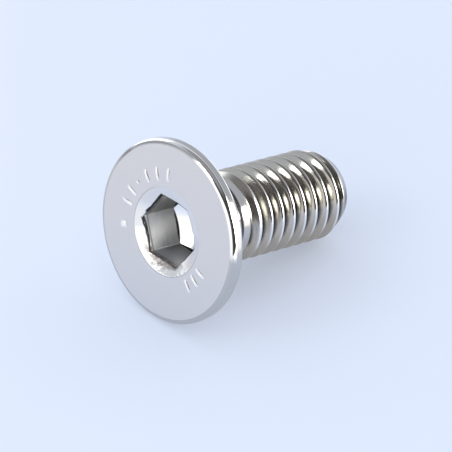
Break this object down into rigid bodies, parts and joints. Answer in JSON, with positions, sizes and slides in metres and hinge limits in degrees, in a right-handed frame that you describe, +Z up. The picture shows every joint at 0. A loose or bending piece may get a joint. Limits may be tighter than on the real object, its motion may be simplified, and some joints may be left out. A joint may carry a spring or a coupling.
{
  "type": "countersunk socket screw",
  "caption": "Machine screw with a flat countersunk head, hexagon socket and right-hand metric thread, lying on its side at rest.",
  "frame": {"origin": "on the surface that the screw lies on, under the middle of its outline box", "axes": "+X towards the tip, level; +Z up; the screw's own axis lies over the X axis and drops towards the tip by 13.79 degrees"},
  "size_m": [0.0154, 0.0118, 0.0116],
  "materials": {
    "stainless_steel": "bright stainless steel, satin on the flat face and polished on the edge band and thread"
  },
  "bodies": {
    "root": {"screw": "stainless_steel"}
  },
  "joints": []
}
